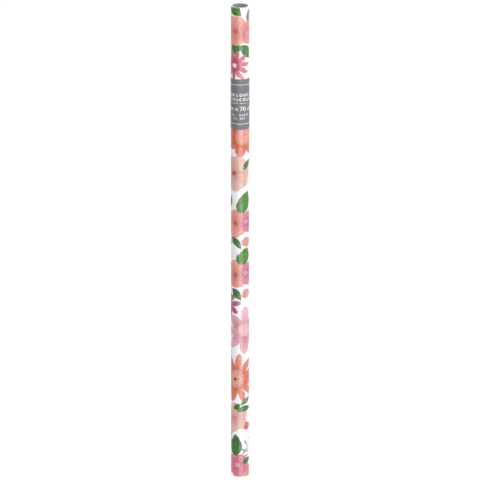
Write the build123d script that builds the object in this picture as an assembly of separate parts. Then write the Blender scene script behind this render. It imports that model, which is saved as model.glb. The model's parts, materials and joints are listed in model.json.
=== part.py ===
from build123d import *

import os
from math import cos, degrees, pi, radians, sin, sqrt

# A roll of gift wrapping paper: one long printed sheet wound on a spiral-wound cardboard core, its
# free edge taped down at the back, with a paper label band around the upper half of the roll.
#
# The roll stands on its lower end. The origin is the centre of that end, +Z runs up the roll's
# axis, and the front of the roll faces -Y. Lengths are in millimetres. Angles are in degrees,
# counted from +X towards +Y, so the back of the roll is at 90.

# The wound sheet
SHEET_WIDTH = 700.0  # the height of the standing roll
SHEET_LENGTH = 2000.0
SHEET_CALIPER = 0.065
FREE_EDGE_ANGLE = 108.0  # where the outermost turn ends

# The core
BORE_DIAMETER = 21.5
PLY_THICKNESS = 0.275
PLY_NAMES = ("core_inner_ply", "core_middle_ply", "core_outer_ply")
CORE_GLUE_WIDTH = 8.0  # around the core, of the glue spots that hold the start of the sheet
CORE_GLUE_HEIGHT = 25.0
CORE_GLUE_THICKNESS = 0.05
CORE_GLUE_ANGLE = 90.0
CORE_GLUE_MIDDLES = {"core_glue_lower": 100.0, "core_glue_middle": 350.0, "core_glue_upper": 600.0}

# The clear tape over the free edge
TAPE_WIDTH = 19.0  # along the roll
TAPE_LENGTH = 30.0  # around the roll
TAPE_THICKNESS = 0.05
TAPE_FROM_END = 70.0  # from each end of the roll to the middle of its tab

# The label band
BAND_HEIGHT = 75.0
BAND_BOTTOM = 519.0
BAND_THICKNESS = 0.12
BAND_GAP = 0.08  # running gap between the band and the outermost turn, more than the tape's thickness
BAND_OVERLAP = 10.0  # how far the band's outer end laps over its inner end
BAND_SEAM_ANGLE = 65.0  # where the band's inner end lies
BAND_GLUE_WIDTH = 6.0
BAND_GLUE_THICKNESS = 0.05

# Radii that follow from them
BORE_RADIUS = BORE_DIAMETER / 2
CORE_RADIUS = BORE_RADIUS + PLY_THICKNESS * len(PLY_NAMES)
# The wound sheet's end face has the area of the sheet's edge, and a turn that dives under its own
# free edge takes a quarter of a caliper off the mean radius.
ROLL_RADIUS = sqrt(CORE_RADIUS**2 + SHEET_LENGTH * SHEET_CALIPER / pi) + SHEET_CALIPER / 4
BAND_RADIUS = ROLL_RADIUS + BAND_GAP  # the inside of the band
BAND_GROWTH = BAND_THICKNESS + BAND_GLUE_THICKNESS  # how far the band climbs over its own end


def polar(radius, angle):
    """The point at a radius and an angle in the XY plane."""
    return (radius * cos(radians(angle)), radius * sin(radians(angle)))


def raised(outline, bottom, height):
    """A closed outline in the XY plane as a prism from bottom up."""
    return extrude(Pos(0, 0, bottom) * make_face(outline), amount=height)


def tube(inner_radius, outer_radius, height):
    """A plain tube that stands at the origin."""
    ring = Circle(outer_radius) - Circle(inner_radius)
    return extrude(ring, amount=height)


def curved_strip(inner_radius, outer_radius, middle_angle, width, bottom, height):
    """A strip bent round the axis, with its width measured along its inner face."""
    half = degrees(width / inner_radius) / 2
    start, end = middle_angle - half, middle_angle + half
    inner = CenterArc((0, 0), inner_radius, start, 2 * half)
    outer = CenterArc((0, 0), outer_radius, start, 2 * half)
    sides = [Line(polar(inner_radius, a), polar(outer_radius, a)) for a in (start, end)]
    return raised([inner, outer, *sides], bottom, height)


def core_plies():
    """The core's plies, one tube inside the next, from the bore outwards."""
    plies = {}
    for i, name in enumerate(PLY_NAMES):
        inner_radius = BORE_RADIUS + i * PLY_THICKNESS
        plies[name] = tube(inner_radius, inner_radius + PLY_THICKNESS, SHEET_WIDTH)
    return plies


def core_glue(middle_height):
    """A spot of glue on the core, under the first turn of the sheet."""
    return curved_strip(
        CORE_RADIUS,
        CORE_RADIUS + CORE_GLUE_THICKNESS,
        CORE_GLUE_ANGLE,
        CORE_GLUE_WIDTH,
        middle_height - CORE_GLUE_HEIGHT / 2,
        CORE_GLUE_HEIGHT,
    )


def wound_sheet(glue_spots):
    """All turns of the sheet, wound tight, as one solid with a step of one caliper at the free edge.

    The outermost turn is two half circles: the second has its centre half a caliper off the axis,
    so the turn ends one caliper below the free edge where it began.
    """
    top, under = ROLL_RADIUS, ROLL_RADIUS - SHEET_CALIPER
    shift = SHEET_CALIPER / 2
    outline = [
        ThreePointArc((top, 0), (0, top), (-top, 0)),
        ThreePointArc((-top, 0), (-shift, shift - top), (under, 0)),
        Line((under, 0), (top, 0)),
    ]
    wound = Rot(0, 0, FREE_EDGE_ANGLE) * raised(outline, 0, SHEET_WIDTH)
    hole = extrude(Circle(CORE_RADIUS), amount=SHEET_WIDTH)
    return wound - hole - glue_spots


def tape_tab(sheet, middle_height):
    """A tab of clear tape across the free edge, which fills the step there."""
    blank = curved_strip(
        ROLL_RADIUS - SHEET_CALIPER,
        ROLL_RADIUS + TAPE_THICKNESS,
        FREE_EDGE_ANGLE,
        TAPE_LENGTH,
        middle_height - TAPE_WIDTH / 2,
        TAPE_WIDTH,
    )
    return blank - sheet


def label_band():
    """The label band: one turn and a lap, which climbs over its own inner end.

    It is two half circles and the lap's arc. The second half circle has its centre off the axis by
    half of what the band climbs, and the lap is concentric with the first half circle again.
    """
    inside, outside = BAND_RADIUS, BAND_RADIUS + BAND_THICKNESS
    lap_angle = degrees(BAND_OVERLAP / outside)
    shift = BAND_GROWTH / 2
    faces = []
    for radius in (inside, outside):
        risen = radius + BAND_GROWTH
        faces += [
            ThreePointArc((radius, 0), (0, radius), (-radius, 0)),
            ThreePointArc((-radius, 0), (shift, -radius - shift), (risen, 0)),
            CenterArc((0, 0), risen, 0, lap_angle),
        ]
    inner_end = Line((inside, 0), (outside, 0))
    outer_end = Line(
        polar(inside + BAND_GROWTH, lap_angle), polar(outside + BAND_GROWTH, lap_angle)
    )
    band = raised([*faces, inner_end, outer_end], BAND_BOTTOM, BAND_HEIGHT)
    return Rot(0, 0, BAND_SEAM_ANGLE) * band


def label_glue():
    """The glue line between the two layers of the label band's lap."""
    inner_radius = BAND_RADIUS + BAND_THICKNESS
    middle_angle = BAND_SEAM_ANGLE + degrees(BAND_OVERLAP / inner_radius) / 2
    outer_radius = inner_radius + BAND_GLUE_THICKNESS
    return curved_strip(
        inner_radius, outer_radius, middle_angle, BAND_GLUE_WIDTH, BAND_BOTTOM, BAND_HEIGHT
    )


glue_spots = {name: core_glue(height) for name, height in CORE_GLUE_MIDDLES.items()}
sheet = wound_sheet(list(glue_spots.values()))
parts = {
    **core_plies(),
    **glue_spots,
    "paper_sheet": sheet,
    "tape_tab_lower": tape_tab(sheet, TAPE_FROM_END),
    "tape_tab_upper": tape_tab(sheet, SHEET_WIDTH - TAPE_FROM_END),
    "label_band": label_band(),
    "label_glue_line": label_glue(),
}

os.makedirs("parts", exist_ok=True)
for name, part in parts.items():
    part.label = name
    export_step(part, f"parts/{name}.step")

print(f"roll {2 * ROLL_RADIUS:.2f} mm across, core {2 * CORE_RADIUS:.2f} mm across")
print(f"{(ROLL_RADIUS - CORE_RADIUS) / SHEET_CALIPER:.1f} turns of the sheet")
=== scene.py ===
import json
from math import ceil, cos, pi, radians, sin, sqrt

import bmesh
import bpy
import numpy as np
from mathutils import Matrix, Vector, noise


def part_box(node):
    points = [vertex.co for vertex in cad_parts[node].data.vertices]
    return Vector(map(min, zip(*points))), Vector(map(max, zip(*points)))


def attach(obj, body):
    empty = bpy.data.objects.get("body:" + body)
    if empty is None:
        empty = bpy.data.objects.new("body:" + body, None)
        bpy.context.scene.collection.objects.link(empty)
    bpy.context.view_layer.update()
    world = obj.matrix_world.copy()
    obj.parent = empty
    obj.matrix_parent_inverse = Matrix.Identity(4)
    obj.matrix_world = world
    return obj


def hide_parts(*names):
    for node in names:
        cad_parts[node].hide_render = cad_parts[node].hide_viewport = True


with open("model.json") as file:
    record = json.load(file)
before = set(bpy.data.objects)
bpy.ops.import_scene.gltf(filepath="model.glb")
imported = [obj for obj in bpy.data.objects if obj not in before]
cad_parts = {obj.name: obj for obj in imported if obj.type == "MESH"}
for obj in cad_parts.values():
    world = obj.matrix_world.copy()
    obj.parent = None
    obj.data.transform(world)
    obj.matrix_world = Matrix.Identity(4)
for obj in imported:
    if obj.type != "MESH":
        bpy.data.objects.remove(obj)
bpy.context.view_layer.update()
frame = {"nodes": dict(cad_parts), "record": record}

# A roll of gift wrapping paper that stands on a pale floor, in the CAD model's frame: metres, with
# +Z up the roll's axis and the front towards -Y. Only the print and the label's marks are measured
# in millimetres. Angles are in degrees. Those round the roll count from +X towards +Y, but those of
# the print, the lights and the glow count from the front to the right.

MM = 0.001
FULL_TURN = 2 * pi

# ---------------------------------------------------------------- sizes, from the frame and the CAD
MOUNTS = {mount["name"]: mount for mount in frame["record"]["mounts"]}
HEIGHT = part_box("paper_sheet")[1][2]
BORE_RADIUS = MOUNTS["core_bore"]["dims"]["r_mm"] * MM

SHEET_LENGTH = 2.0
SHEET_CALIPER = 0.065 * MM
FREE_EDGE_ANGLE = 108.0
FRONT_ANGLE = 270.0

PLY_THICKNESS = 0.275 * MM
PLY_PITCH, PLY_SEAM = 62.0 * MM, 0.4 * MM
PLIES = ("core_inner_ply", "core_middle_ply", "core_outer_ply")
CORE_RADIUS = BORE_RADIUS + PLY_THICKNESS * len(PLIES)
# The end of the roll has the area of the sheet's edge. The outer turn dives under its own free edge,
# which takes a quarter of a caliper off its mean radius.
ROLL_RADIUS = sqrt(CORE_RADIUS**2 + SHEET_LENGTH * SHEET_CALIPER / pi) + SHEET_CALIPER / 4

BAND_LOW, BAND_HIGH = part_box("label_band")[0][2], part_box("label_band")[1][2]
BAND_THICKNESS = 0.12 * MM
BAND_PLAY = 0.08 * MM
BAND_RADIUS = ROLL_RADIUS + BAND_PLAY
BAND_GLUE = 0.05 * MM
BAND_OVERLAP = 10.0 * MM
BAND_SEAM_ANGLE = 65.0

TAPE_THICKNESS = 0.05 * MM
TAPE_LENGTH = 30.0 * MM
TAPE_TEETH, TOOTH_DEPTH = 10, 0.35 * MM

# The visible turns are a little thinner than the sheet, so that no two of them touch.
OUTER_TURN_THICKNESS = 0.06 * MM
INNER_TURN_SHARE = 0.94  # of the step from one turn to the next
CORE_GAP = 0.055 * MM  # from the core to the innermost turn
FINE_GAP = 0.002 * MM  # between two layers that lie on one another
SHARP_ANGLE = 40.0  # the shading breaks at edges that turn by more


# ---------------------------------------------------------------- camera, floor and light
ELEVATION = 16.5  # of the camera above the horizon, in degrees
LENS = 1600.0  # in millimetres, long enough to keep the roll's sides parallel
VIEW_WIDTH = 0.6875  # how wide the picture is at the roll
VIEW_END = 200.0  # the camera sees nothing farther away
AIM = Vector((0.0, 0.0, 0.3509))  # the point in the middle of the picture

FLOOR_HALF, FLOOR_GREY, FLOOR_GLOW = 60.0, 0.25, 0.97
FLAG_X, FLAG_DEPTH, FLAG_HEIGHT, FLAG_GREY = -0.5, 0.44, 1.2, 0.03
SKY_BRIGHTNESS, SKY_TINT = 0.18, (0.95, 0.97, 1.0)
HORIZON, WHITE_BELOW = -0.01, 1.2  # where the sky ends, and the brightness of what is lower
GLOW_AZIMUTHS, GLOW_WIDTH, GLOW_BRIGHTNESS = (-9, 4, 17, 30), 11.0, 9.5  # the width in degrees

LIGHT_DISTANCE = 1.6
LIGHTS = (
    # name, azimuth from the front to the right, elevation, size, brightness, colour
    ("key", 12, 38, (1.0, 1.0), 0.5, (1.0, 0.99, 0.975)),
    ("top", 10, 84, (1.0, 1.0), 5.0, (1.0, 0.995, 0.985)),
    ("right", 84, 14, (0.9, 1.7), 1.35, (1.0, 0.995, 0.985)),
    ("back", 215, 28, (1.2, 1.2), 1.8, (0.98, 0.99, 1.0)),
)


def make_camera():
    """A camera with a very long lens, in front of the roll and above it."""
    data = bpy.data.cameras.new("camera")
    data.lens = LENS
    data.clip_end = VIEW_END
    distance = VIEW_WIDTH * LENS / data.sensor_width
    camera = bpy.data.objects.new("camera", data)
    tilt = radians(ELEVATION)
    camera.location = AIM + distance * Vector((0, -cos(tilt), sin(tilt)))
    camera.rotation_euler = (pi / 2 - tilt, 0, 0)
    bpy.context.collection.objects.link(camera)
    bpy.context.scene.camera = camera


def make_light(name, azimuth, elevation, size, brightness, colour):
    """A soft panel that faces the middle of the roll. Its brightness is its radiance."""
    data = bpy.data.lights.new(name, "AREA")
    data.shape = "RECTANGLE"
    data.size, data.size_y = size
    data.energy = brightness * size[0] * size[1] * pi
    data.color = colour
    light = bpy.data.objects.new(name, data)
    a, e = radians(azimuth), radians(elevation)
    away = Vector((sin(a) * cos(e), -cos(a) * cos(e), sin(e)))
    light.location = Vector((0, 0, HEIGHT / 2)) + away * LIGHT_DISTANCE
    light.rotation_mode = "QUATERNION"
    light.rotation_quaternion = away.to_track_quat("Z", "Y")
    light.visible_camera = False
    bpy.context.collection.objects.link(light)


def make_glow():
    """A row of soft suns that shine up through the floor and show in the paper's gloss."""
    for azimuth in GLOW_AZIMUTHS:
        data = bpy.data.lights.new("glow", "SUN")
        data.angle = radians(GLOW_WIDTH)
        data.energy = GLOW_BRIGHTNESS * pi * (data.angle / 2) ** 2
        data.cycles.use_multiple_importance_sampling = False
        lamp = bpy.data.objects.new("glow", data)
        lamp.rotation_euler = (pi / 2 + radians(ELEVATION), 0, radians(azimuth))
        bpy.context.collection.objects.link(lamp)


def make_world():
    """An even, faintly blue light from all round, and white where the floor ends."""
    world = bpy.data.worlds.new("studio")
    world.use_nodes = True
    tree = world.node_tree
    background = tree.nodes["Background"]
    way = tree.nodes.new("ShaderNodeSeparateXYZ")
    tree.links.new(tree.nodes.new("ShaderNodeTexCoord").outputs["Generated"], way.inputs[0])
    below = tree.nodes.new("ShaderNodeMath")
    below.operation = "LESS_THAN"
    below.inputs[1].default_value = HORIZON
    tree.links.new(way.outputs["Z"], below.inputs[0])
    sky = tree.nodes.new("ShaderNodeMix")
    sky.data_type = "RGBA"
    sky.inputs[6].default_value = (*(part * SKY_BRIGHTNESS for part in SKY_TINT), 1)
    sky.inputs[7].default_value = (WHITE_BELOW, WHITE_BELOW, WHITE_BELOW, 1)
    tree.links.new(below.outputs[0], sky.inputs[0])
    tree.links.new(sky.outputs[2], background.inputs["Color"])
    bpy.context.scene.world = world


def make_board(name, corners, grey, roughness):
    """A flat grey board with four corners, and its shader's inputs."""
    mesh = bpy.data.meshes.new(name)
    mesh.from_pydata(corners, [], [(0, 1, 2, 3)])
    material = bpy.data.materials.new(name)
    material.use_nodes = True
    mesh.materials.append(material)
    shader = material.node_tree.nodes["Principled BSDF"].inputs
    shader["Base Color"].default_value = (grey, grey, grey, 1)
    shader["Roughness"].default_value = roughness
    board = bpy.data.objects.new(name, mesh)
    bpy.context.collection.objects.link(board)
    return board, shader


def make_floor():
    """A wide pale floor that glows like a light table and lets the suns under it through."""
    corners = [(-FLOOR_HALF, -FLOOR_HALF, 0), (FLOOR_HALF, -FLOOR_HALF, 0)]
    corners += [(FLOOR_HALF, FLOOR_HALF, 0), (-FLOOR_HALF, FLOOR_HALF, 0)]
    floor, shader = make_board("floor", corners, FLOOR_GREY, 1.0)
    shader["Specular IOR Level"].default_value = 0.0
    shader["Emission Color"].default_value = (1, 1, 1, 1)
    shader["Emission Strength"].default_value = FLOOR_GLOW
    floor.visible_shadow = False


def make_flag():
    """A dark board at the left, unseen by the camera, that keeps the floor's light off that side."""
    corners = [(FLAG_X, -FLAG_DEPTH, 0), (FLAG_X, 0, 0)]
    corners += [(FLAG_X, 0, FLAG_HEIGHT), (FLAG_X, -FLAG_DEPTH, FLAG_HEIGHT)]
    flag, _ = make_board("flag", corners, FLAG_GREY, 0.9)
    flag.visible_camera = False


bpy.context.scene.view_settings.view_transform = "Standard"
make_camera()
make_world()
make_floor()
make_glow()
for light in LIGHTS:
    make_light(*light)
make_flag()


# ---------------------------------------------------------------- node trees
class Value:
    """An output socket that formulas can use."""

    def __init__(self, graph, source):
        self.graph, self.source = graph, source

    def __add__(self, other):
        return self.graph.math("ADD", self, other)

    def __sub__(self, other):
        return self.graph.math("SUBTRACT", self, other)

    def __rsub__(self, other):
        return self.graph.math("SUBTRACT", other, self)

    def __mul__(self, other):
        return self.graph.math("MULTIPLY", self, other)

    def __truediv__(self, other):
        return self.graph.math("DIVIDE", self, other)

    def __pow__(self, other):
        return self.graph.math("POWER", self, other)

    __radd__, __rmul__ = __add__, __mul__


class Graph:
    """Adds nodes to one shader node tree."""

    def __init__(self, tree):
        self.tree = tree

    def add(self, kind, inputs=(), output=0, **settings):
        """A node of a kind, with its inputs by name or number, as the Value of one of its outputs."""
        node = self.tree.nodes.new(kind)
        for name, value in settings.items():
            setattr(node, name, value)
        for name, value in dict(inputs).items():
            self.feed(node.inputs[name], value)
        return Value(self, node.outputs[output])

    def feed(self, socket, value):
        """Links a Value to an input, or sets a plain number, vector or colour on it."""
        if isinstance(value, Value):
            self.tree.links.new(value.source, socket)
        else:
            socket.default_value = value

    def math(self, operation, *values):
        """One step of a formula."""
        return self.add("ShaderNodeMath", enumerate(values), operation=operation)

    def step(self, value, low, high, to_low=0.0, to_high=1.0):
        """A smooth step from to_low at low to to_high at high."""
        inputs = {0: value, 1: low, 2: high, 3: to_low, 4: to_high}
        return self.add(
            "ShaderNodeMapRange", inputs, interpolation_type="SMOOTHSTEP", clamp=False
        )

    def mix(self, factor, first, second):
        """Two colours mixed, the second one fully at a factor of 1."""
        inputs = {0: factor, 6: first, 7: second}
        return self.add("ShaderNodeMix", inputs, output=2, data_type="RGBA")

    def noise(self, vector, scale, detail, roughness=0.5, output="Fac"):
        """A noise in space, as a number or a colour."""
        inputs = {"Vector": vector, "Scale": scale, "Detail": detail, "Roughness": roughness}
        return self.add("ShaderNodeTexNoise", inputs, output=output)

    def noise_of_one(self, value, scale, detail):
        """A noise along a line, from one number."""
        inputs = {"W": value, "Scale": scale, "Detail": detail}
        return self.add("ShaderNodeTexNoise", inputs, noise_dimensions="1D")

    def stretched(self, vector, scale):
        """A vector times a scale for each of its three parts."""
        return self.add("ShaderNodeVectorMath", {0: vector, 1: scale}, operation="MULTIPLY")

    def bump(self, height, strength, distance, normal=None):
        """The normal of a surface with a relief, on top of another normal if there is one."""
        inputs = {"Height": height, "Strength": strength, "Distance": distance}
        if normal is not None:
            inputs["Normal"] = normal
        return self.add("ShaderNodeBump", inputs, output="Normal")


def linear(colour):
    """A hex colour such as 'c0ffee' as linear RGBA."""
    parts = [int(colour[i : i + 2], 16) / 255 for i in (0, 2, 4)]
    return (*(p / 12.92 if p <= 0.04045 else ((p + 0.055) / 1.055) ** 2.4 for p in parts), 1.0)


def new_material(name):
    """A material, its graph and its Principled shader's inputs."""
    material = bpy.data.materials.new(name)
    material.use_nodes = True
    shader = material.node_tree.nodes["Principled BSDF"]
    return material, Graph(material.node_tree), shader.inputs


def object_place(graph):
    """The object's own coordinates, in metres."""
    return graph.add("ShaderNodeTexCoord", output="Object")


def parts_of(graph, vector):
    """A vector's x, y and z."""
    node = graph.tree.nodes.new("ShaderNodeSeparateXYZ")
    graph.feed(node.inputs[0], vector)
    return [Value(graph, output) for output in node.outputs]


def combined(graph, x, y):
    """The vector of an x and a y."""
    return graph.add("ShaderNodeCombineXYZ", {0: x, 1: y})


# ---------------------------------------------------------------- the print's motifs
# A motif's group works in plain numbers alone, in the order that its nodes are added: so many
# motifs in one material fit the renderer only if each is finished before the next begins.
PLACE = ("Across", "Up", "Centre across", "Centre up")
DOT_FREQUENCY = 2.7  # of the dots in a flower's middle, in radians per millimetre


def new_group(name, colours, numbers):
    """A node group that paints one motif over a colour, with its graph and its inputs by name."""
    tree = bpy.data.node_groups.new(name, "ShaderNodeTree")
    kinds = {"Under": "Color", **dict.fromkeys(colours, "Color")}
    kinds |= dict.fromkeys(PLACE + numbers, "Float")
    for label, kind in kinds.items():
        tree.interface.new_socket(label, in_out="INPUT", socket_type="NodeSocket" + kind)
    tree.interface.new_socket("Colour", in_out="OUTPUT", socket_type="NodeSocketColor")
    graph = Graph(tree)
    start = tree.nodes.new("NodeGroupInput")
    return graph, {label: Value(graph, start.outputs[label]) for label in kinds}


def close_group(graph, inputs, mask, tint, fade):
    """Ends a group: the tint, made lighter or darker, goes over the colour under it."""
    shaded = graph.add("ShaderNodeHueSaturation", {"Value": fade, "Color": tint})
    colour = graph.mix(mask, inputs["Under"], shaded)
    graph.feed(graph.tree.nodes.new("NodeGroupOutput").inputs["Colour"], colour)
    return graph.tree


def from_centre(graph, inputs):
    """The way from the motif's centre, across and up, and its length."""
    x = inputs["Across"] - inputs["Centre across"]
    y = inputs["Up"] - inputs["Centre up"]
    return x, y, graph.math("SQRT", x * x + y * y)


def petals_group():
    """A ring of petals with their tips outwards, each a little different."""
    numbers = ("Petals", "Turn", "Inner", "Outer", "Width", "Seed")
    graph, inputs = new_group("petals", ("Root tint", "Tip tint"), numbers)
    x, y, distance = from_centre(graph, inputs)
    share = (graph.math("ARCTAN2", y, x) + inputs["Turn"]) * inputs["Petals"] / FULL_TURN
    index = graph.math("FLOOR", share)
    bearing = (share - index - 0.5) * FULL_TURN / inputs["Petals"]
    key = graph.math("FLOORED_MODULO", index, inputs["Petals"]) + inputs["Seed"]
    chance = graph.add("ShaderNodeTexWhiteNoise", {"W": key}, noise_dimensions="1D")
    reach = inputs["Outer"] * (0.86 + 0.14 * chance)
    along = (distance * graph.math("COSINE", bearing) - inputs["Inner"]) / (reach - inputs["Inner"])
    along = graph.math("MAXIMUM", along, 0.0)
    across = distance * graph.math("SINE", bearing) / inputs["Width"]
    # The outline is where the edge comes to 1: widest past its middle, and rounder at the tip.
    edge = across * across + (2.0 * along**1.35 - 1.0) ** 2.0
    mask = graph.step(edge, 0.9, 1.02, 1.0, 0.0)
    streaks = graph.noise_of_one(across * 7.0 + along + key * 31.0, 1.0, 3.0)
    fade = graph.step(streaks, 0.3, 0.75, 0.86, 1.1) * graph.step(edge, 0.5, 1.0, 1.0, 0.84)
    fade = fade * graph.step(graph.math("ABSOLUTE", across), 0.0, 0.14, 0.88, 1.0)
    tint = graph.mix(along + 0.5 * (chance - 0.5), inputs["Root tint"], inputs["Tip tint"])
    return close_group(graph, inputs, mask, tint, fade)


def leaf_group():
    """A pointed leaf with a pale midrib and side veins, or a petal or twig of that outline."""
    numbers = ("Turn", "Length", "Width", "Bend", "Veins")
    graph, inputs = new_group("leaf", ("Tint", "Vein tint"), numbers)
    x, y, _ = from_centre(graph, inputs)
    c, s = graph.math("COSINE", inputs["Turn"]), graph.math("SINE", inputs["Turn"])
    along = (x * c + y * s) / inputs["Length"]
    taper = graph.math("MAXIMUM", 1.0 - along * along, 0.0)
    across = (y * c - x * s) / inputs["Width"] - inputs["Bend"] * taper
    across = graph.math("ABSOLUTE", across)
    # How deep inside the outline a point is. The leaf is wider near its stalk than near its tip.
    depth = taper * (1.0 - 0.22 * along) - across
    mask = graph.step(depth, 0.0, 0.1)
    mottle = graph.noise_of_one(along * 3.0 + across * 1.4 + inputs["Centre up"], 1.0, 4.0)
    rib = graph.step(across, 0.02, 0.12, 0.55, 0.0)
    side = graph.math("SINE", (along * 4.2 - across * 1.3) * FULL_TURN)
    veins = graph.math("MAXIMUM", rib, graph.step(side, 0.6, 1.0, 0.0, 0.2)) * inputs["Veins"]
    fade = graph.step(mottle, 0.3, 0.72, 0.8, 1.22) * graph.step(depth, 0.02, 0.3, 0.85, 1.0)
    tint = graph.mix(veins, inputs["Tint"], inputs["Vein tint"])
    return close_group(graph, inputs, mask, tint, fade)


def heart_group():
    """A flower's round middle with rings of fine lines, or dots."""
    graph, inputs = new_group("heart", ("Tint", "Line tint"), ("Radius", "Rings", "Dots"))
    x, y, distance = from_centre(graph, inputs)
    share = distance / inputs["Radius"]
    mask = graph.step(share, 0.93, 1.0, 1.0, 0.0)
    wave = graph.math("COSINE", share * inputs["Rings"] * FULL_TURN)
    lines = graph.step(wave, 0.2, 0.8) * graph.math("MINIMUM", inputs["Rings"], 1.0)
    rising = graph.math("COSINE", (x + y) * DOT_FREQUENCY)
    dots = rising * graph.math("COSINE", (x - y) * DOT_FREQUENCY)
    marks = lines + inputs["Dots"] * (graph.step(dots, 0.3, 0.6) - lines)
    fade = graph.step(share, 0.5, 1.0, 1.0, 0.86)
    tint = graph.mix(marks, inputs["Tint"], inputs["Line tint"])
    return close_group(graph, inputs, mask, tint, fade)


GROUPS = {"petals": petals_group(), "leaf": leaf_group(), "heart": heart_group()}

# Each tint is a pair: a flower's at the petals' roots and tips, a leaf's own and its veins'.
TINTS = {
    "coral": ("da8270", "eda596"),
    "salmon": ("cd6a66", "df9493"),
    "scarlet": ("cd5b43", "e58f7b"),
    "orange": ("c95d42", "e38a71"),
    "rose": ("bb4461", "db8092"),
    "peach": ("d4988b", "e3bab0"),
    "pink": ("c05470", "da8fa0"),
    "dusty": ("c97b8d", "edc3ca"),
    "magenta": ("a23f63", "c46783"),
    "forest": ("2a6408", "487e2c"),
    "grass": ("3b7a1e", "6a9a50"),
    "lime": ("458023", "72a34f"),
    "fern": ("367136", "689b62"),
    "sage": ("6c8463", "9dae93"),
    "twig": ("56645d", "8b958d"),
    "cherry": ("bf5a55", "d88a84"),
    "mauve": ("c98ea5", "dfb3c2"),
    "plum": ("86342f", "b36a60"),
    "lace": ("d57c68", "fae2d8"),
    "blush": ("dfa6b2", "f7dde0"),
    "sand": ("cb7560", "f2cdbd"),
    "white": ("f6efee", "ecd9d6"),
}


class Print:
    """Paints motifs over one another on the unrolled sheet.

    A place is given in degrees from the front to the right and millimetres above the foot; sizes
    are in millimetres, and turns in degrees from level.
    """

    def __init__(self, graph, place, ground):
        self.graph, self.place, self.colour, self.count = graph, place, ground, 0

    def stamp(self, motif, place, **inputs):
        degrees, height = place
        inputs = {name.capitalize().replace("_", " "): value for name, value in inputs.items()}
        centre = (radians(degrees) * ROLL_RADIUS / MM, height)
        inputs |= {"Under": self.colour, **dict(zip(PLACE, (*self.place, *centre)))}
        self.colour = self.graph.add("ShaderNodeGroup", inputs, node_tree=GROUPS[motif])
        self.count += 1

    def leaf(self, place, length, width, turn, tint="grass", bend=0.15, veins=1.0):
        own, vein = map(linear, TINTS[tint])
        shape = {"length": length / 2, "width": width / 2, "turn": radians(turn), "bend": bend}
        self.stamp("leaf", place, tint=own, vein_tint=vein, veins=veins, **shape)

    def petals(self, place, reach, count, width, tint, turn=0, inner=2.0):
        root, tip = map(linear, TINTS[tint])
        shape = {"outer": reach, "petals": count, "width": width / 2, "turn": radians(turn)}
        seed = 17.0 * self.count
        self.stamp("petals", place, root_tint=root, tip_tint=tip, inner=inner, seed=seed, **shape)

    def heart(self, place, radius, tint, rings=0.0, dots=0.0):
        own, line = map(linear, TINTS[tint])
        self.stamp("heart", place, tint=own, line_tint=line, radius=radius, rings=rings, dots=dots)


def paint_upper_front(sheet):
    """The front from the top edge to the peach daisy below the label."""
    sheet.leaf((-42, 697), 31, 19, -40, "grass")
    sheet.leaf((68, 688), 21, 10.5, 80, "sage")
    sheet.leaf((-32, 638), 20, 17, -72, "fern")
    sheet.leaf((40, 634), 27, 15, -52, "fern")
    sheet.petals((-39, 614.5), 26, 11, 7.0, "rose", 10)
    sheet.heart((-39, 615), 2.6, "white")
    sheet.petals((-27, 665), 24, 7, 21, "coral", 5, inner=0.3)
    sheet.heart((-27, 664), 2.2, "cherry")
    sheet.petals((70, 663), 18.5, 6, 21, "salmon", 20, inner=0.3)
    sheet.heart((56, 662), 4.2, "mauve", rings=2.0)
    sheet.leaf((-48, 575), 24, 10, 60, "grass")
    sheet.petals((35, 571), 21, 6, 21, "peach", 12, inner=0.3)
    sheet.heart((35, 571), 3.0, "cherry")
    sheet.leaf((-12, 548), 20, 8, -35, "fern")
    sheet.petals((-66, 541), 15, 10, 5.0, "pink", 0)
    sheet.heart((-66, 541), 2.6, "white")
    sheet.petals((22, 510), 37, 8, 17, "scarlet", -11.5, inner=6)
    sheet.heart((25, 509.5), 14.0, "lace", rings=5.0, dots=1.0)
    sheet.heart((34, 512), 2.4, "coral")
    sheet.petals((-41, 453.5), 27.5, 7, 26, "peach", 14, inner=0.3)
    sheet.heart((-41, 453.5), 3.8, "cherry")
    sheet.leaf((52, 467), 21, 10, 46, "fern")


def paint_middle_front(sheet):
    """The front from the peach daisy to the pink one, with one group of motifs twice."""
    sheet.leaf((-70, 412), 17, 9, 85, "forest")
    sheet.petals((-95, 257), 24, 9, 7.6, "magenta", 12)
    sheet.heart((-95, 257), 3.4, "white")
    for drop, leaf_height, leaf_length in ((0, 411, 36), (77, 330, 29)):
        sheet.leaf((46, 351 - drop), 19, 14, 20, "peach", veins=0.4)
        sheet.leaf((-25, 350 - drop), 25, 12, -50, "fern")
        sheet.leaf((-82, 347 - drop), 12, 5, 20, "magenta", veins=0.3)
        sheet.petals((-30, 380 - drop), 22, 6, 22, "coral", 10, inner=0.3)
        sheet.heart((-26, 379 - drop), 2.8, "cherry")
        sheet.petals((60, 381 - drop), 17, 5, 21, "pink", 30, inner=0.3)
        sheet.heart((38, 382 - drop), 4.0, "mauve", rings=2.0)
        sheet.leaf((-6, 402 - drop), 17, 7, 108, "fern")
        sheet.leaf((36, leaf_height), leaf_length, 19, 76, "lime")
    sheet.petals((32, 217.5), 38, 8, 14.5, "dusty", 24, inner=2)
    sheet.heart((34, 219.5), 10.8, "blush", rings=3.0, dots=1.0)


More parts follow.
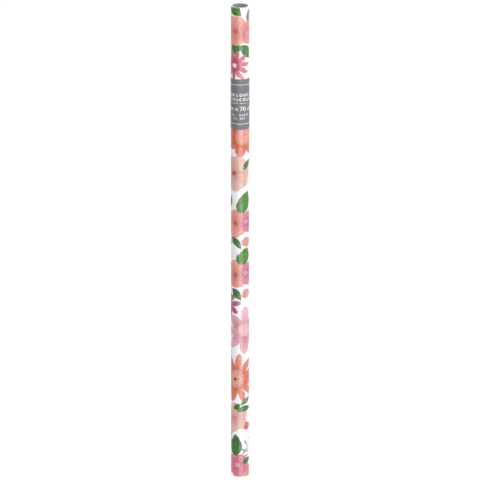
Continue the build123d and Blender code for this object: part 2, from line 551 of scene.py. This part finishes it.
def paint_lower_front(sheet):
    """The front from the orange daisy to the foot."""
    sheet.leaf((38, 146), 32, 22, 4, "orange", veins=0.0)
    sheet.petals((-29, 147), 39, 12, 10.5, "orange", -5, inner=5)
    sheet.heart((-29, 147), 13.4, "sand", rings=5.5)
    sheet.heart((-31, 147), 2.6, "plum")
    sheet.petals((-40, 88), 23, 6, 18, "peach", 5, inner=0.3)
    sheet.heart((-40, 88), 2.4, "lace")
    sheet.leaf((54, 75), 14, 11, 20, "salmon", veins=0.3)
    sheet.leaf((40, 113), 21, 8, 36, "sage")
    sheet.leaf((30, 101), 25, 9, 8, "fern")
    sheet.leaf((-17, 105), 14, 8, 40, "forest")
    for place, length, turn in (
        ((35, 39.4), 18, 48),
        ((41, 49), 15, -52),
        ((22, 40.5), 9, -41),
        ((48, 38), 10, -5),
        ((37, 31.4), 14, 3),
    ):
        sheet.leaf(place, length, 1.7, turn, "twig", veins=0.0)
    sheet.heart((66, 57), 1.4, "twig")
    sheet.leaf((42, 5), 36, 24, 10, "peach", veins=0.4)
    sheet.petals((-17, 17.5), 19.5, 5, 16, "rose", -18, inner=0.3)
    sheet.heart((-17, 17.5), 4.2, "mauve", rings=2.0)
    sheet.leaf((48, 24), 18, 8.5, 30, "fern")
    sheet.leaf((-28, 47), 35, 21, 92, "forest", bend=0.05, veins=0.7)


def paint_back(sheet):
    """The back, in rows up the roll that change places from one to the next."""
    flowers = (
        ("coral", 16, 6, 10, "cherry"),
        ("pink", 13, 5, 10, "mauve"),
        ("orange", 18, 9, 7.5, "sand"),
        ("peach", 17, 6, 11, "cherry"),
        ("rose", 15, 11, 4.6, "white"),
    )
    greens = ("forest", "grass", "lime", "fern", "sage")
    lowest, rows, row_height = 32, 12, 58.0
    for row in range(rows):
        height = lowest + row * row_height
        side = 1 if row % 2 else -1
        near, far = (142, -118) if row % 2 else (160, -132)
        sheet.leaf((104, height + 26), 20, 8, 60 * side, greens[row % 5])
        sheet.leaf((152, height + 29), 17, 6.5, -40 * side, greens[(row + 2) % 5])
        sheet.leaf((-134, height), 19, 7, 70 * side, greens[(row + 3) % 5])
        sheet.leaf((near + 34, height + 24), 13, 1.7, 50 * side, "twig", veins=0.0)
        for number, place in enumerate(((near, height), (far, height - 28))):
            tint, reach, count, width, heart = flowers[(row + 2 * number) % 5]
            sheet.petals(place, reach, count, width, tint, 15 * row, inner=1.0)
            sheet.heart(place, 2.4 if heart != "mauve" else 3.4, heart)


def unrolled_place(graph):
    """Where a point of the sheet lies when it is flat: millimetres from the front, and up.

    The sheet's free edge is where the one end meets the other.
    """
    x, y, z = parts_of(graph, object_place(graph))
    c, s = cos(radians(FREE_EDGE_ANGLE)), sin(radians(FREE_EDGE_ANGLE))
    turned = graph.math("ARCTAN2", x * s - y * c, x * -c - y * s)
    turned = turned + radians(FREE_EDGE_ANGLE + 180 - FRONT_ANGLE)
    return turned * (ROLL_RADIUS / MM), z / MM


def shaken(graph, place, scale, reach):
    """A place moved about by a noise, so that outlines look drawn by hand."""
    moved = graph.noise(place, scale, 2.0, output="Color")
    moved = graph.add("ShaderNodeVectorMath", {0: moved, 1: (0.5, 0.5, 0.5)}, operation="SUBTRACT")
    return graph.add(
        "ShaderNodeVectorMath", {0: moved, 1: (reach, reach, 0), 2: place}, operation="MULTIPLY_ADD"
    )


# ---------------------------------------------------------------- materials
def gift_wrap_print():
    """Printed glossy paper: flowers and leaves on white, with the sheen of a thin coating."""
    material, graph, shader = new_material("gift_wrap_print")
    across, up = unrolled_place(graph)
    flat = combined(graph, across, up)
    place = parts_of(graph, shaken(graph, shaken(graph, flat, 0.07, 5.0), 0.6, 0.9))[:2]
    ground = graph.mix(graph.noise(flat, 0.05, 3.0), linear("ecebf0"), linear("f4f3f3"))
    sheet = Print(graph, place, ground)
    paint_back(sheet)
    paint_middle_front(sheet)
    paint_upper_front(sheet)
    paint_lower_front(sheet)
    wash = graph.step(graph.noise(flat, 0.35, 5.0, 0.6), 0.25, 0.8, 0.0, 0.03)
    colour = graph.mix(wash, sheet.colour, linear("f5efec"))
    graph.feed(shader["Base Color"], colour)
    waves = graph.noise(graph.stretched(flat, (0.5, 0.09, 1.0)), 0.35, 2.0)
    fibres = graph.noise(graph.stretched(flat, (1.0, 2.2, 1.0)), 2.6, 4.0, 0.6)
    graph.feed(shader["Roughness"], graph.step(fibres, 0.2, 0.85, 0.17, 0.28))
    shader["Specular IOR Level"].default_value = 0.32
    low = graph.bump(waves, 0.35, 0.5 * MM)
    graph.feed(shader["Normal"], graph.bump(fibres, 0.12, 0.04 * MM, low))
    return material


def gift_wrap_plain():
    """The gift wrap's unprinted reverse and its cut edges."""
    material, graph, shader = new_material("gift_wrap_plain")
    place = object_place(graph)
    fibres = graph.noise(graph.stretched(place, (1, 1, 0.35)), 3000.0, 4.0, 0.6)
    blotches = graph.noise(place, 60.0, 3.0)
    graph.feed(shader["Base Color"], graph.mix(blotches, linear("e9e8e6"), linear("f3f2f0")))
    graph.feed(shader["Roughness"], graph.step(fibres, 0.2, 0.8, 0.62, 0.8))
    graph.feed(shader["Normal"], graph.bump(fibres, 0.25, 0.04 * MM))
    return material


def greyboard():
    """Recycled grey board with pale fibres and dark flecks."""
    material, graph, shader = new_material("greyboard")
    place = object_place(graph)
    fibres = graph.noise(graph.stretched(place, (1, 1, 0.3)), 2200.0, 5.0, 0.65)
    flecks = graph.noise(place, 900.0, 3.0, 0.7)
    clouds = graph.noise(place, 90.0, 3.0)
    colour = graph.mix(clouds, linear("c5c5c4"), linear("d6d6d4"))
    colour = graph.mix(graph.step(fibres, 0.45, 0.75, 0.0, 0.5), colour, linear("dddcd8"))
    colour = graph.mix(graph.step(flecks, 0.62, 0.72, 0.0, 0.6), colour, linear("86827c"))
    graph.feed(shader["Base Color"], colour)
    graph.feed(shader["Roughness"], graph.step(fibres, 0.2, 0.8, 0.8, 0.95))
    graph.feed(shader["Normal"], graph.bump(fibres, 0.5, 0.08 * MM))
    return material


def glue():
    """Dried white glue, yellowish in places."""
    material, graph, shader = new_material("glue")
    place = object_place(graph)
    lumps = graph.noise(place, 700.0, 3.0)
    graph.feed(shader["Base Color"], graph.mix(lumps, linear("e6dcc0"), linear("f2eee0")))
    graph.feed(shader["Roughness"], graph.step(lumps, 0.3, 0.7, 0.25, 0.5))
    shader["Subsurface Weight"].default_value = 0.1
    graph.feed(shader["Normal"], graph.bump(lumps, 0.5, 0.03 * MM))
    return material


def clear_tape():
    """Clear adhesive tape, faintly milky, with fine lines along it and some trapped air."""
    material, graph, shader = new_material("clear_tape")
    place = object_place(graph)
    lines = graph.noise(graph.stretched(place, (1, 1, 12)), 180.0, 3.0)
    air = graph.noise(place, 420.0, 2.0)
    graph.feed(shader["Base Color"], graph.mix(air, linear("f1efe4"), linear("fbfaf4")))
    graph.feed(shader["Roughness"], graph.step(air, 0.35, 0.7, 0.12, 0.32))
    shader["Alpha"].default_value = 0.2
    graph.feed(shader["Normal"], graph.bump(lines, 0.35, 0.03 * MM))
    return material


# The label's marks, with heights above its foot and sizes in millimetres.
LABEL_RULES = (8.6, 66.5)
LABEL_RULE_HEIGHT = 0.75
LABEL_ROWS = (
    # middle, height of a mark, width of the row, step from mark to mark, stroke, share left blank
    (51.2, 4.4, 34.0, 5.6, 1.15, 0.0),
    (44.8, 4.4, 30.0, 4.9, 1.15, 0.0),
    (39.2, 1.5, 24.0, 1.9, 0.6, 0.12),
    (21.8, 3.2, 26.0, 3.1, 0.75, 0.12),
    (16.8, 3.2, 20.0, 3.1, 0.75, 0.12),
)
SOFT_EDGE = 0.1
CELL_SHIFT = 100.3  # in marks along a row: it settles where the row starts and what its marks are
ARC_FROM, BAR_FROM = 0.42, 0.7  # the chances from which a mark is an open ring, and a bar
SIZE_TEXT, SIZE_TEXT_PLACE, SIZE_TEXT_HEIGHT = "2 m x 70 cm", (-0.8, 30.7), 9.0
INK_SWELL = 0.16 * MM  # added to each side of a stroke
INK_HALF_DEPTH, INK_LIFT = 0.006 * MM, 0.008 * MM
INK_SLICE = 0.4 * MM  # narrow enough for the figures to bend smoothly


def inside(graph, value, width):
    """1 where a value is within half a width of nought, and 0 outside, with soft edges."""
    away = graph.math("ABSOLUTE", value)
    return graph.step(away, width / 2 - SOFT_EDGE, width / 2 + SOFT_EDGE, 1.0, 0.0)


def chosen(factor, first, second):
    """The first number where the factor is 0, and the second where it is 1."""
    return first + factor * (second - first)


def label_print():
    """Matt grey label paper with two white rules and rows of rings, arcs and bars for lettering."""
    material, graph, shader = new_material("label_print")
    x, y, z = parts_of(graph, object_place(graph))
    across = graph.math("ARCTAN2", x, y * -1.0) * (BAND_RADIUS / MM)
    up = (z - BAND_LOW) / MM
    flat = combined(graph, across, up)
    grain = graph.noise(flat, 3.2, 4.0, 0.65)
    clouds = graph.noise(flat, 0.06, 3.0)
    grey = graph.mix(clouds, linear("68696f"), linear("727379"))
    grey = graph.mix(graph.step(grain, 0.3, 0.75, 0.0, 0.12), grey, linear("a3a4a8"))
    marks = 0.0
    for middle in LABEL_RULES:
        marks = graph.math("MAXIMUM", marks, inside(graph, up - middle, LABEL_RULE_HEIGHT))
    for middle, tall, row_width, pitch, stroke, blank in LABEL_ROWS:
        cell = across / pitch + CELL_SHIFT
        index = graph.math("FLOOR", cell)
        chance = {"W": index + middle}
        chance = graph.add("ShaderNodeTexWhiteNoise", chance, noise_dimensions="1D")
        u, v = (cell - index - 0.5) * pitch, up - middle
        reach = graph.math("SQRT", u * u + v * v)
        ring = inside(graph, reach - (tall - stroke) / 2, stroke)
        open_ring = ring * graph.math("LESS_THAN", u, tall / 5)
        bar = inside(graph, u, stroke) * inside(graph, v, tall)
        foot = inside(graph, v + (tall - stroke) / 2, stroke) * inside(graph, u, tall * 0.7)
        bar = graph.math("MAXIMUM", bar, foot)
        mark = chosen(graph.math("GREATER_THAN", chance, ARC_FROM), ring, open_ring)
        mark = chosen(graph.math("GREATER_THAN", chance, BAR_FROM), mark, bar)
        mark = mark * graph.math("GREATER_THAN", chance, blank) * inside(graph, across, row_width)
        marks = graph.math("MAXIMUM", marks, mark)
    worn = marks * graph.step(grain, 0.25, 0.6, 0.8, 1.0)
    graph.feed(shader["Base Color"], graph.mix(worn, grey, linear("e9e9ea")))
    graph.feed(shader["Roughness"], graph.step(grain, 0.2, 0.8, 0.38, 0.52))
    graph.feed(shader["Normal"], graph.bump(grain, 0.2, 0.04 * MM))
    return material


def label_ink():
    """The white ink of the label's size, thin and a little uneven."""
    material, graph, shader = new_material("label_ink")
    grain = graph.noise(object_place(graph), 2400.0, 4.0, 0.65)
    graph.feed(shader["Base Color"], graph.mix(grain, linear("d9d9db"), linear("f2f2f3")))
    graph.feed(shader["Roughness"], graph.step(grain, 0.2, 0.8, 0.42, 0.58))
    graph.feed(shader["Normal"], graph.bump(grain, 0.2, 0.02 * MM))
    return material


def label_plain():
    """The label's unprinted reverse and its cut edges."""
    material, graph, shader = new_material("label_plain")
    place = object_place(graph)
    grain = graph.noise(place, 2600.0, 4.0, 0.65)
    graph.feed(shader["Base Color"], graph.mix(grain, linear("dedede"), linear("f2f2f0")))
    graph.feed(shader["Roughness"], graph.step(grain, 0.2, 0.8, 0.6, 0.8))
    graph.feed(shader["Normal"], graph.bump(grain, 0.3, 0.04 * MM))
    return material


PRINTED, PLAIN = gift_wrap_print(), gift_wrap_plain()
BOARD, GLUE, TAPE = greyboard(), glue(), clear_tape()
LABEL, LABEL_BACK, INK = label_print(), label_plain(), label_ink()


# ---------------------------------------------------------------- pieces
def shell(angle, inner, outer, height):
    """A thin curved solid, from arrays [round the roll, up] of its angle in radians, its two radii
    and its height.

    Gives its points, its faces, and how many of the first faces are its outside.
    """
    angle, inner, outer, height = np.broadcast_arrays(angle, inner, outer, height)
    count, rows = angle.shape
    sides = [(radius * np.cos(angle), radius * np.sin(angle), height) for radius in (outer, inner)]
    points = np.concatenate([np.stack(side, axis=-1).reshape(-1, 3) for side in sides])
    number = np.arange(2 * count * rows).reshape(2, count, rows)
    out, back = number

    def quads(a, b, c, d):
        return np.stack([part.ravel() for part in (a, b, c, d)], axis=-1)

    faces = [
        quads(out[:-1, :-1], out[1:, :-1], out[1:, 1:], out[:-1, 1:]),
        quads(back[:-1, :-1], back[:-1, 1:], back[1:, 1:], back[1:, :-1]),
        quads(out[:-1, 0], back[:-1, 0], back[1:, 0], out[1:, 0]),
        quads(out[:-1, -1], out[1:, -1], back[1:, -1], back[:-1, -1]),
        quads(back[0, :-1], out[0, :-1], out[0, 1:], back[0, 1:]),
        quads(out[-1, :-1], back[-1, :-1], back[-1, 1:], out[-1, 1:]),
    ]
    return points, np.concatenate(faces), len(faces[0])


def add_piece(name, points, faces, outside, materials, body, slot, nodes):
    """A smooth piece that rides on a body, and stands in for the CAD nodes it is given.

    The first of its faces, as many as outside says, get the first material, and the others the last.
    """
    mesh = bpy.data.meshes.new(name)
    mesh.from_pydata(list(map(tuple, points)), [], list(map(tuple, faces)))
    for material in materials:
        mesh.materials.append(material)
    index = np.where(np.arange(len(faces)) < outside, 0, len(materials) - 1)
    mesh.polygons.foreach_set("material_index", index.astype(np.int32))
    mesh.polygons.foreach_set("use_smooth", np.ones(len(faces), bool))
    mesh.set_sharp_from_angle(angle=radians(SHARP_ANGLE))
    mesh.update()
    piece = bpy.data.objects.new(name, mesh)
    bpy.context.collection.objects.link(piece)
    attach(piece, body)
    if nodes:
        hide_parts(*nodes)


def evenly(first, last, steps):
    """Evenly spaced numbers from the first to the last, which are that many steps apart."""
    return np.linspace(first, last, steps + 1)


def turn_radius(angle):
    """The sheet's outer radius at an angle that grows from the free edge inwards, in radians."""
    return ROLL_RADIUS - SHEET_CALIPER * (angle - radians(FREE_EDGE_ANGLE)) / FULL_TURN


def wander(values, seed, scale, reach):
    """A smooth random offset for each value, up to about a reach either way."""
    return np.array([reach * noise.noise((value * scale, seed, 0.5)) for value in values])


def sheet_ends(angle, seed, scale, inset, reach):
    """The heights of the sheet's foot and top at each angle, which wander about an inset."""
    foot = inset + wander(angle, seed + 1, scale, reach)
    top = HEIGHT - inset + wander(angle, seed, scale, reach)
    return foot, top


def outer_turn():
    """The outermost turn, the only one whose print shows."""
    first = radians(FREE_EDGE_ANGLE)
    angle = evenly(first, first + FULL_TURN, steps=288)
    foot, top = sheet_ends(angle, 1, 0.8, 0.05 * MM, 0.05 * MM)
    height = foot[:, None] + (top - foot)[:, None] * evenly(0, 1, steps=140)
    outer = turn_radius(angle)[:, None]
    made = shell(angle[:, None], outer - OUTER_TURN_THICKNESS, outer, height)
    add_piece(
        "paper_outer_turn", *made, (PRINTED, PLAIN), "roll", "gift_wrap_paper", ["paper_sheet"]
    )


def inner_turns():
    """The turns below it, a spiral that shows on the two ends, where turns stand in and out."""
    first = radians(FREE_EDGE_ANGLE) + FULL_TURN
    room = turn_radius(first) - CORE_RADIUS - CORE_GAP
    turns = ceil(room / SHEET_CALIPER) - 1
    pitch = room / (turns + 1)
    angle = evenly(first, first + FULL_TURN * turns, steps=turns * 96)
    outer = turn_radius(first) - pitch * (angle - first) / FULL_TURN - FINE_GAP
    height = np.stack(sheet_ends(angle, 3, 0.16, 0.14 * MM, 0.12 * MM), axis=-1)
    outer = outer[:, None]
    made = shell(angle[:, None], outer - INNER_TURN_SHARE * pitch, outer, height)
    add_piece("paper_inner_turns", *made, (PLAIN,), "roll", "gift_wrap_paper", ["paper_sheet"])


def plain_mesh(bm):
    """The points and faces of a bmesh, which is freed."""
    bm.verts.index_update()
    points = [tuple(vert.co) for vert in bm.verts]
    faces = [[vert.index for vert in face.verts] for face in bm.faces]
    bm.free()
    return points, faces


def cut_level(points, faces):
    """The same solid cut off level at the floor and at the roll's height, with the cuts closed."""
    bm = bmesh.new()
    corners = [bm.verts.new(point) for point in points]
    for face in faces:
        bm.faces.new([corners[i] for i in face])
    for height, way in ((0.0, -1), (HEIGHT, 1)):
        everything = bm.verts[:] + bm.edges[:] + bm.faces[:]
        plane = {"plane_co": (0, 0, height), "plane_no": (0, 0, way)}
        made = bmesh.ops.bisect_plane(bm, geom=everything, clear_outer=True, **plane)
        edges = [item for item in made["geom_cut"] if isinstance(item, bmesh.types.BMEdge)]
        bmesh.ops.contextual_create(bm, geom=edges)
    bmesh.ops.recalc_face_normals(bm, faces=bm.faces[:])
    return plain_mesh(bm)


def core_ply(node, inner, first_turn):
    """One ply of the core, a strip wound up the tube with a fine gap at its seam.

    It starts lower by first_turn, a share of a pitch, which keeps the plies' seams apart.
    """
    turns = ceil(HEIGHT / PLY_PITCH) + 2
    angle = evenly(0, FULL_TURN * turns, steps=80 * turns)
    foot = PLY_PITCH * (angle / FULL_TURN - 1 - first_turn)
    height = np.stack([foot, foot + PLY_PITCH - PLY_SEAM], axis=-1)
    points, faces, _ = shell(angle[:, None], inner, inner + PLY_THICKNESS, height)
    points, faces = cut_level(points, faces)
    add_piece(node + "_winding", points, faces, 0, (BOARD,), "roll", "greyboard", [node])


def tape_tab(node):
    """A short piece of clear tape across the free edge, with the teeth of its cutter at both ends."""
    low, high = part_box(node)
    width = high.z - low.z
    across = evenly(0, 1, steps=40)[None, :]
    teeth = TOOTH_DEPTH * np.abs(((across * TAPE_TEETH) % 1) * 2 - 1) / ROLL_RADIUS
    half = TAPE_LENGTH / 2 / ROLL_RADIUS
    edge = radians(FREE_EDGE_ANGLE)
    start, end = edge - half + teeth, edge + half - teeth
    angle = start + (end - start) * evenly(0, 1, steps=120)[:, None]
    # The tape climbs on to the free edge in the last 2 degrees before it.
    climb = SHEET_CALIPER * np.clip((angle - edge) / radians(2) + 1, 0, 1)
    inner = ROLL_RADIUS - SHEET_CALIPER + climb + FINE_GAP
    made = shell(angle, inner, inner + TAPE_THICKNESS, low.z + width * across)
    add_piece(node + "_strip", *made, (TAPE,), "roll", "clear_tape", [node])


def band_inner_radius(angle):
    """The label's inner radius: round for half a turn, then out over its own first end."""
    after = angle - radians(BAND_SEAM_ANGLE)
    climb = (1 - np.cos(after - pi)) / 2
    climb = np.where(after < pi, 0.0, np.where(after < FULL_TURN, climb, 1.0))
    return BAND_RADIUS + (BAND_THICKNESS + BAND_GLUE) * climb


def label_band():
    """The label, one turn round the roll and a lap."""
    first = radians(BAND_SEAM_ANGLE)
    lap = BAND_OVERLAP / (BAND_RADIUS + BAND_THICKNESS + BAND_GLUE)
    angle = evenly(first, first + FULL_TURN + lap, steps=320)[:, None]
    inner = band_inner_radius(angle)
    height = evenly(BAND_LOW, BAND_HIGH, steps=30)[None, :]
    made = shell(angle, inner, inner + BAND_THICKNESS, height)
    add_piece(
        "label_band_wrap", *made, (LABEL, LABEL_BACK), "band", "label_paper", ["label_band"]
    )


def label_size_text():
    """The roll's size in white ink on the label's front, as thin raised figures bent round it.

    The figures are made flat, cut into upright slices so that they can bend, and then bent.
    """
    curve = bpy.data.curves.new("size", "FONT")
    curve.body = SIZE_TEXT
    curve.size = SIZE_TEXT_HEIGHT * MM
    curve.extrude = INK_HALF_DEPTH
    curve.offset = INK_SWELL
    curve.align_x, curve.align_y = "CENTER", "CENTER"
    flat = bpy.data.objects.new("size", curve)
    bpy.context.collection.objects.link(flat)
    mesh = bpy.data.meshes.new_from_object(flat)
    bpy.data.objects.remove(flat)
    bm = bmesh.new()
    bm.from_mesh(mesh)
    bmesh.ops.remove_doubles(bm, verts=bm.verts[:], dist=0.001 * MM)
    reach = max(abs(vert.co.x) for vert in bm.verts)
    for x in np.arange(-reach, reach, INK_SLICE):
        everything = bm.verts[:] + bm.edges[:] + bm.faces[:]
        bmesh.ops.bisect_plane(bm, geom=everything, plane_co=(x, 0, 0), plane_no=(1, 0, 0))
    across, up = SIZE_TEXT_PLACE
    for vert in bm.verts:
        turn = radians(FRONT_ANGLE) + (vert.co.x + across * MM) / (BAND_RADIUS + BAND_THICKNESS)
        radius = float(band_inner_radius(turn)) + BAND_THICKNESS + INK_LIFT + vert.co.z
        height = BAND_LOW + up * MM + vert.co.y
        vert.co = (radius * cos(turn), radius * sin(turn), height)
    points, faces = plain_mesh(bm)
    add_piece("label_size_text", points, faces, 0, (INK,), "band", "label_paper", [])


def dress_glue():
    """The glue lines keep their CAD shape, and get the glue's material."""
    for name in ("core_glue_lower", "core_glue_middle", "core_glue_upper", "label_glue_line"):
        mesh = frame["nodes"][name].data
        mesh.materials.clear()
        mesh.materials.append(GLUE)


outer_turn()
inner_turns()
for number, ply in enumerate(PLIES):
    core_ply(ply, BORE_RADIUS + number * PLY_THICKNESS, number / len(PLIES))
tape_tab("tape_tab_lower")
tape_tab("tape_tab_upper")
label_band()
label_size_text()
dress_glue()
